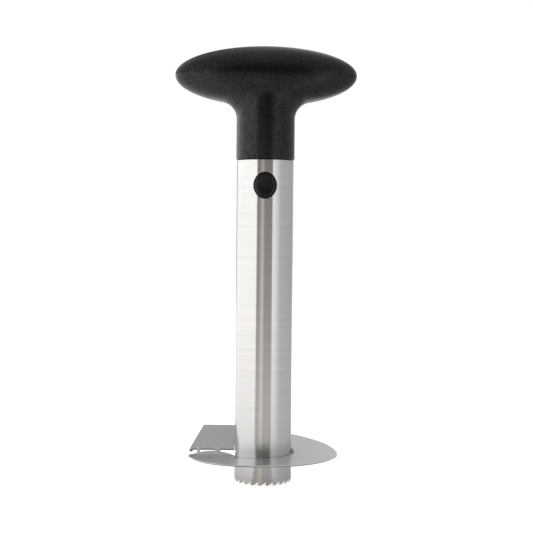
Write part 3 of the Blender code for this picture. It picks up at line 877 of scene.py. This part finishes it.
def grip_meridian(reach):
    """(radius, height) pairs from under the top of the head down to the neck's foot."""
    points = []
    for step in range(1, DOME_RINGS + 1):
        turn = math.pi / 2 * (1.0 - step / DOME_RINGS)
        height = GRIP_HEAD_HEIGHT + GRIP_DOME_HEIGHT * math.sin(turn)
        points.append((reach * math.cos(turn), height))

    def normal(turn):
        out, down = math.cos(turn) / reach, math.sin(turn) / GRIP_BELLY_DEPTH
        length = math.hypot(out, down)
        return out / length, down / length

    # the turn at which the fillet meets the belly
    low, high = 0.0, math.pi / 2
    for _ in range(FILLET_SEARCH_STEPS):
        turn = (low + high) / 2
        if reach * math.cos(turn) + GRIP_FILLET * normal(turn)[0] > NECK_RADIUS + GRIP_FILLET:
            low = turn
        else:
            high = turn
    for step in range(1, BELLY_RINGS + 1):
        angle = turn * step / BELLY_RINGS
        height = GRIP_HEAD_HEIGHT - GRIP_BELLY_DEPTH * math.sin(angle)
        points.append((reach * math.cos(angle), height))
    out, down = normal(turn)
    centre_radius = NECK_RADIUS + GRIP_FILLET
    centre_height = points[-1][1] - GRIP_FILLET * down
    start = math.atan2(down, -out)
    for step in range(1, FILLET_RINGS + 1):
        angle = start + (math.pi - start) * step / FILLET_RINGS
        radius = centre_radius + GRIP_FILLET * math.cos(angle)
        points.append((radius, centre_height + GRIP_FILLET * math.sin(angle)))
    for turn in even_steps(0.0, math.pi / 2, NECK_ROUND_STEPS):
        radius = NECK_RADIUS - NECK_ROUND * (1.0 - math.cos(turn))
        points.append((radius, NECK_FOOT + NECK_ROUND * (1.0 - math.sin(turn))))
    return points


def build_grip(material):
    """The oval head on its round neck, with a socket for the plug and holes for its screws."""
    azimuths = grip_azimuths()
    meridians = [grip_meridian(grip_reach(a)) for a in azimuths]
    rings = []
    for places in zip(*meridians):
        ring = []
        for azimuth, (radius, height) in zip(azimuths, places):
            ring.append(Vector((radius * math.cos(azimuth), radius * math.sin(azimuth), height)))
        rings.append(ring)
    work = bmesh.new()
    rows = skin_rings(work, rings)
    fan(work, rows[0], (0.0, 0.0, GRIP_HEAD_HEIGHT + GRIP_DOME_HEIGHT))
    work.faces.new(rows[-1])
    grip = new_piece("moulded_grip", work, material, GRIP_SHARP_DEGREES)
    socket = ((SOCKET_RADIUS, NECK_FOOT - NECK_ROUND), (SOCKET_RADIUS, SOCKET_TOP))
    cut_away(grip, turned_cutter("socket_cutter", socket, GRIP_SIDES))
    for side in (-1, 1):
        pilot = ((PILOT_RADIUS, SOCKET_TOP - NECK_ROUND), (PILOT_RADIUS, PILOT_TOP))
        centre = (side * SCREW_OFFSET, 0.0)
        cut_away(grip, turned_cutter("pilot_cutter", pilot, PILOT_SIDES, centre))
    shade(grip.data, GRIP_SHARP_DEGREES)
    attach(grip, "handle")
    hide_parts("handle_grip")


def build_button(name, node, side, material):
    """A push button with a softly rounded, dished face. side is -1 in front."""
    cup_floor = BUTTON_INNER_END + CUP_DEPTH
    flange_back = BUTTON_FLANGE_FACE - BUTTON_FLANGE_THICKNESS
    stem_x = BUTTON_HALF_WIDTH - BUTTON_STEM_SLIMMING
    stem_z = BUTTON_HALF_HEIGHT - BUTTON_STEM_SLIMMING
    flange_x, flange_z = BUTTON_HALF_WIDTH + BUTTON_FLANGE, BUTTON_HALF_HEIGHT + BUTTON_FLANGE

    def ring(half_x, half_z, depth):
        return oval_ring(half_x, half_z, depth, BUTTON_SIDES)

    def face_ring(inset, drop):
        """A ring on the face, which is curved like the tube."""
        slimmer = inset + BUTTON_SLIMMING
        points = ring(BUTTON_HALF_WIDTH - slimmer, BUTTON_HALF_HEIGHT - slimmer, 0.0)
        for point in points:
            point.y = math.sqrt(BUTTON_FACE**2 - point.x**2) - drop
        return points

    rings = [
        ring(CUP_RADIUS, CUP_RADIUS, cup_floor),
        ring(CUP_RADIUS, CUP_RADIUS, BUTTON_INNER_END),
        ring(stem_x, stem_z, BUTTON_INNER_END),
        ring(stem_x, stem_z, flange_back),
        ring(flange_x, flange_z, flange_back),
        ring(flange_x, flange_z, BUTTON_FLANGE_FACE),
        ring(BUTTON_HALF_WIDTH, BUTTON_HALF_HEIGHT, BUTTON_FLANGE_FACE),
    ]
    for turn in even_steps(0.0, math.pi / 2, BUTTON_ROUND_STEPS):
        inset = BUTTON_ROUND * (1.0 - math.cos(turn))
        rings.append(face_ring(inset, BUTTON_ROUND * (1.0 - math.sin(turn))))
    width = BUTTON_HALF_WIDTH - BUTTON_ROUND - BUTTON_SLIMMING
    for share in BUTTON_DISH_SHARES:
        dish = BUTTON_DISH * math.sin(share * math.pi / 2) ** 2
        rings.append(face_ring(BUTTON_ROUND + share * width, dish))
    work = bmesh.new()
    rows = skin_rings(work, rings)
    work.faces.new(rows[0])
    fan(work, rows[-1], (0.0, BUTTON_FACE - BUTTON_DISH, 0.0))
    for vertex in work.verts:
        x, y, z = vertex.co
        vertex.co = Vector((side * x, side * y, z + BUTTON_HEIGHT))
    button = new_piece(name, work, material, BUTTON_SHARP_DEGREES)
    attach(button, node)
    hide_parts(node)


def recess_cutter(centre, height, turned):
    """One arm of a cross recess, narrower at its floor."""
    half_x, half_y = RECESS_LENGTH / 2, RECESS_WIDTH / 2
    if turned:
        half_x, half_y = half_y, half_x
    rings = []
    for depth, size in ((-RECESS_OVERRUN, 1.0), (RECESS_DEPTH, RECESS_FLOOR_SHARE)):
        ring = []
        for x, y in CORNERS:
            place = (centre.x + x * half_x * size, centre.y + y * half_y * size, height + depth)
            ring.append(Vector(place))
        rings.append(ring)
    return new_piece("recess_cutter", closed_skin(rings), None)


def build_screw(name, node, material):
    """A long screw with a rounded head and a cross recess."""
    low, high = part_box(node)
    centre = (low + high) / 2
    head_top = low.z + SCREW_HEAD_HEIGHT
    profile = []
    for turn in even_steps(0.0, math.pi / 2, SCREW_HEAD_STEPS):
        flare = SCREW_HEAD_FACE_SHARE + SCREW_HEAD_FLARE_SHARE * math.sin(turn)
        rise = SCREW_HEAD_HEIGHT * SCREW_HEAD_ROUND_SHARE * (1.0 - math.cos(turn))
        profile.append((SCREW_HEAD_RADIUS * flare, low.z + rise))
    profile += [(SCREW_HEAD_RADIUS, head_top), (SCREW_RADIUS, head_top)]
    profile += [(SCREW_RADIUS, high.z - SCREW_TIP), (SCREW_POINT, high.z)]
    work = closed_skin([round_ring(r, z, SCREW_SIDES, (centre.x, centre.y)) for r, z in profile])
    screw = new_piece(name, work, material, SCREW_SHARP_DEGREES)
    for turned in (False, True):
        cut_away(screw, recess_cutter(centre, low.z, turned))
    shade(screw.data, SCREW_SHARP_DEGREES)
    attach(screw, "handle")
    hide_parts(node)


def build_spring_half(name, side, material):
    """Half of the coil, between the handle and the button on its side."""

    def centre(share):
        turn = math.pi * SPRING_TURNS * (1.0 + side * share)
        x, z = SPRING_RADIUS * math.cos(turn), SPRING_RADIUS * math.sin(turn)
        return Vector((x, side * share * SPRING_HALF, BUTTON_HEIGHT + z))

    rings = []
    axis = Vector((0.0, 0.0, BUTTON_HEIGHT))
    count = COIL_STEPS * SPRING_TURNS // 2
    for step in range(count + 1):
        share = step / count
        place = centre(share)
        before, after = centre(share - COIL_PROBE_SHARE), centre(share + COIL_PROBE_SHARE)
        ahead = (after - before).normalized()
        out = place - axis
        out.y = 0.0
        out.normalize()
        across = ahead.cross(out)
        ring = []
        for corner in range(WIRE_SIDES):
            turn = math.tau * corner / WIRE_SIDES
            spoke = out * math.cos(turn) + across * math.sin(turn)
            ring.append(place + spoke * (SPRING_WIRE / 2))
        rings.append(ring)
    half = new_piece(name, closed_skin(rings), material, WIRE_SHARP_DEGREES)
    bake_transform(half)
    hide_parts("button_spring")


def dress_node(node, material):
    """Gives a CAD node, kept as it is, a finished material."""
    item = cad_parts[node]
    item.data.materials.clear()
    item.data.materials.append(material)


# Stage, light and camera


def background_rays(nodes):
    """1 for the rays that show the white background: camera, glossy and transmission."""
    path = nodes.add("ShaderNodeLightPath")
    both = nodes.add(
        "ShaderNodeMath",
        {0: path.outputs["Is Camera Ray"], 1: path.outputs["Is Glossy Ray"]},
        operation="ADD",
    )
    return nodes.add(
        "ShaderNodeMath",
        {0: both.outputs[0], 1: path.outputs["Is Transmission Ray"]},
        operation="ADD",
        use_clamp=True,
    ).outputs[0]


def build_floor():
    """A pale floor that glows white where it is seen."""
    work = bmesh.new()
    places = [(x * FLOOR_HALF, y * FLOOR_HALF, FLOOR_LEVEL) for x, y in CORNERS]
    work.faces.new([work.verts.new(place) for place in places])
    material, nodes, shader = new_material(
        "pale_floor",
        Base_Color=FLOOR_COLOUR,
        Roughness=0.9,
        Specular_IOR_Level=0.0,
        Emission_Color=WHITE,
    )
    glow = nodes.add(
        "ShaderNodeMath",
        {0: background_rays(nodes), 1: FLOOR_GLOW},
        operation="MULTIPLY",
    )
    nodes.link(glow.outputs[0], shader, "Emission Strength")
    floor = new_piece("studio_floor", work, material)


def build_world():
    """White behind the object and in its metal, and a softer room for the plain light."""
    world = bpy.data.worlds.new("studio")
    bpy.context.scene.world = world
    world.use_nodes = True
    world.node_tree.nodes.clear()
    nodes = NodeTree(world.node_tree)
    room = nodes.add("ShaderNodeBackground", {"Color": WHITE, "Strength": ROOM_STRENGTH})
    white = nodes.add("ShaderNodeBackground", {"Color": WHITE, "Strength": 1.0})
    seen = background_rays(nodes)
    mix = nodes.add("ShaderNodeMixShader", {0: seen, 1: room.outputs[0], 2: white.outputs[0]})
    nodes.add("ShaderNodeOutputWorld", {"Surface": mix.outputs[0]})


def direction(degrees):
    """The level direction at an azimuth counted from the camera's side towards +X."""
    turn = math.radians(degrees)
    return Vector((math.sin(turn), -math.cos(turn), 0.0))


def softbox(name, azimuth, width):
    """A soft light that stands upright and faces the object. Gloss sees the cards instead."""
    height = SOFTBOX_HIGH - SOFTBOX_LOW
    data = bpy.data.lights.new(name, "AREA")
    data.shape = "RECTANGLE"
    data.size, data.size_y = width, height
    data.energy = SOFTBOX_RADIANCE * math.pi * width * height
    light = bpy.data.objects.new(name, data)
    light.location = direction(azimuth) * SOFTBOX_DISTANCE
    light.location.z = (SOFTBOX_LOW + SOFTBOX_HIGH) / 2
    light.rotation_euler = (-direction(azimuth)).to_track_quat("-Z", "Y").to_euler()
    light.visible_camera = False
    light.visible_glossy = False
    bpy.context.scene.collection.objects.link(light)


def card_material():
    """A card glows by the radiance stored at its corners."""
    material = bpy.data.materials.new("studio_card")
    material.use_nodes = True
    material.node_tree.nodes.clear()
    nodes = NodeTree(material.node_tree)
    stored = nodes.add("ShaderNodeAttribute", attribute_name="radiance")
    glow = nodes.add("ShaderNodeEmission", {"Color": stored.outputs["Color"], "Strength": 1.0})
    nodes.add("ShaderNodeOutputMaterial", {"Surface": glow.outputs[0]})
    return material


def card(name, material, stops, places, colour=(1, 1, 1)):
    """A grey card round the object, a curved strip that only shiny surfaces see.

    stops are azimuths in degrees, each with its radiances. places are the (radius, height)
    pairs that the radiances belong to."""
    work = bmesh.new()
    tones = []
    columns = []
    for (start, low), (end, high) in zip(stops, stops[1:]):
        for step in range(CARD_STEPS + 1):
            share = step / CARD_STEPS
            column = []
            for (radius, height), first, second in zip(places, low, high):
                point = direction(start + (end - start) * share) * radius
                column.append(work.verts.new(point + Vector((0, 0, height))))
                tone = first + (second - first) * share
                tones.append([tone * c for c in colour] + [1.0])
            columns.append(column)
    for first, second in zip(columns, columns[1:]):
        for i in range(len(first) - 1):
            work.faces.new((first[i], second[i], second[i + 1], first[i + 1]))
    panel = new_piece(name, work, material)
    stored = panel.data.color_attributes.new("radiance", "FLOAT_COLOR", "POINT")
    for entry, tone in zip(stored.data, tones):
        entry.color = tone
    panel.visible_camera = False
    panel.visible_diffuse = False
    panel.visible_transmission = False
    panel.visible_shadow = False


def card_places(forward=0.0, up=0.0):
    """From the floor near the object, out to the studio's wall and up it."""
    on_floor = [(radius, 0.0) for radius in CARD_FLOOR_RADII]
    on_wall = [(CARD_REACH, height) for height in CARD_HEIGHTS]
    return [(radius - forward, height + CARD_LEVEL + up) for radius, height in on_floor + on_wall]


def build_lights():
    """Softboxes for the plain light, and the cards that the shiny surfaces see.

    The radiances of a card run from the floor near the object up to the wall's top."""
    softbox("left_front_softbox", azimuth=-64, width=1.45)
    softbox("left_rear_softbox", azimuth=-122, width=1.5)
    softbox("right_front_softbox", azimuth=43, width=0.52)
    grey, places = card_material(), card_places()
    flag = (0.36, 0.42, 0.55, 0.68, 0.48, 0.38, 0.34, 0.36, 0.04, 0.03, 0.2, 0.2)
    card("camera_side_flag", grey, [(-32, flag), (31, flag)], places)
    warm = (0.5, 0.55, 0.75, 0.95, 0.88, 0.8, 0.74, 0.74, 0.05, 0.03, 0.2, 0.2)
    stops = [(-22, flag), (-11, warm), (-7, warm), (1, flag)]
    strip = card_places(STRIP_FORWARD, STRIP_UP)
    card("warm_front_strip", grey, stops, strip, WARM_COLOUR)
    left = (0.55, 0.66, 1.0, 1.2, 1.35, 1.4, 1.4, 1.34, 2.5, 0.8, 0.8, 0.8)
    far_left = [0.7 * tone for tone in left]
    card("left_card", grey, [(-157, far_left), (-132, left), (-32, left)], places)
    band = (0.5, 0.62, 0.9, 1.12, 1.2, 1.2, 1.2, 1.2, 1.1, 0.9, 0.6, 0.6)
    fade = [0.85 * tone for tone in band]
    side = (0.4, 0.48, 0.6, 0.68, 0.65, 0.62, 0.6, 0.6, 0.6, 0.6, 0.6, 0.6)
    dim = [0.8 * tone for tone in side]
    stops = [(31, band), (46, fade), (66, side), (158, dim)]
    card("right_card", grey, stops, places)
    stops = [(158, (0.78, 0.75)), (176, (0.74, 0.7)), (188, (0.24, 0.24)), (203, (0.2, 0.2))]
    card("rear_card", grey, stops, [(CARD_REACH, 0.0), (CARD_REACH, CARD_TOP)])
    plain, bright = (0.53,) * 6, (0.53, 0.53, 0.62, 0.62, 0.53, 0.53)
    stops = [(-180, plain), (-100, plain), (-70, bright), (60, bright), (90, plain), (180, plain)]
    card("ceiling_card", grey, stops, [(radius, CARD_TOP) for radius in CEILING_RADII])


def build_camera():
    """The photograph's camera, level but for a small roll, with the picture shifted down."""
    data = bpy.data.cameras.new("photo_camera")
    data.sensor_width = SENSOR
    data.lens = CAMERA_DISTANCE / MM_PER_PX * SENSOR / IMAGE_SIDE_PX
    data.shift_y = -(IMAGE_SIDE_PX / 2 - HORIZON_PX) / IMAGE_SIDE_PX
    camera = bpy.data.objects.new("photo_camera", data)
    camera.location = (AXIS_OFFSET_PX * MM_PER_PX, -CAMERA_DISTANCE, EYE_HEIGHT)
    turn = Matrix.Rotation(math.pi / 2, 4, "X") @ Matrix.Rotation(CAMERA_ROLL, 4, "Z")
    camera.rotation_euler = turn.to_euler()
    bpy.context.scene.collection.objects.link(camera)
    bpy.context.scene.camera = camera


def main():
    lines = brushed_lines_group()
    grain = moulded_grain_group()
    tube_steel = brushed_steel(
        "tube_steel",
        stretch=(35, 35, 2600),
        colour=(0.66, 0.655, 0.64),
        spread=0.05,
        roughness=(0.14, 0.2),
        lines=lines,
        anisotropy=0.85,
        tangent=("Z", 0.25),
    )
    blade_steel = brushed_steel(
        "blade_steel",
        stretch=(35, 2200, 600),
        colour=(0.66, 0.66, 0.655),
        spread=0.05,
        roughness=(0.3, 0.38),
        lines=lines,
    )
    build_tube(tube_steel)
    # the sheared edges' dark colour is painted shade: it draws the thin dark outlines along the
    # blade's edges and the fin's foot
    sheared_painted_shade_steel = brushed_steel(
        "sheared_edge_painted_shade_steel",
        stretch=(300, 300, 2600),
        colour=(0.2, 0.2, 0.2),
        spread=0.12,
        roughness=(0.35, 0.5),
        lines=lines,
    )
    # the rim's lighter colour is partly real polish and partly a painted highlight: it draws a
    # bright line along the rim and the cutting bevel
    polished_painted_highlight_steel = brushed_steel(
        "polished_rim_painted_highlight_steel",
        stretch=(300, 300, 2600),
        colour=(0.86, 0.86, 0.85),
        spread=0.04,
        roughness=(0.16, 0.24),
        lines=lines,
    )
    build_blade((blade_steel, sheared_painted_shade_steel, polished_painted_highlight_steel))
    build_welds(welded_steel(lines))
    grip_black = moulded_plastic(
        "grip_plastic",
        colour=(0.0015, 0.0015, 0.0017),
        lift=1.6,
        roughness=(0.2, 0.28),
        specular=(0.63, 0.12),
        grain_scale=1450.0,
        depth=0.00007,
        grain=grain,
    )
    button_black = moulded_plastic(
        "button_plastic",
        colour=(0.003, 0.003, 0.0033),
        lift=1.3,
        roughness=(0.26, 0.34),
        specular=(0.37, 0.33),
        grain_scale=2600.0,
        depth=0.00001,
        grain=grain,
    )
    plug_grey = moulded_plastic(
        "plug_plastic",
        colour=(0.03, 0.03, 0.032),
        lift=1.3,
        roughness=(0.4, 0.5),
        specular=(0.5, 0.4),
        grain_scale=2400.0,
        depth=0.00002,
        grain=grain,
    )
    build_grip(grip_black)
    build_button("push_button_front", "button_front", -1, button_black)
    build_button("push_button_rear", "button_rear", 1, button_black)
    wire_steel = brushed_steel(
        "spring_wire_steel",
        stretch=(900, 900, 900),
        colour=(0.55, 0.55, 0.56),
        spread=0.08,
        roughness=(0.25, 0.35),
        lines=lines,
    )
    screw_steel = brushed_steel(
        "plated_screw_steel",
        stretch=(1200, 1200, 300),
        colour=(0.6, 0.6, 0.58),
        spread=0.1,
        roughness=(0.25, 0.4),
        lines=lines,
    )
    for node in ("plug_half_left", "plug_half_right"):
        dress_node(node, plug_grey)
    for side in ("left", "right"):
        build_screw(f"cross_head_screw_{side}", f"plug_screw_{side}", screw_steel)
    build_spring_half("coil_spring_front", -1, wire_steel)
    build_spring_half("coil_spring_rear", 1, wire_steel)
    build_floor()
    build_world()
    build_lights()
    build_camera()
    bpy.context.scene.view_settings.view_transform = "Standard"


main()
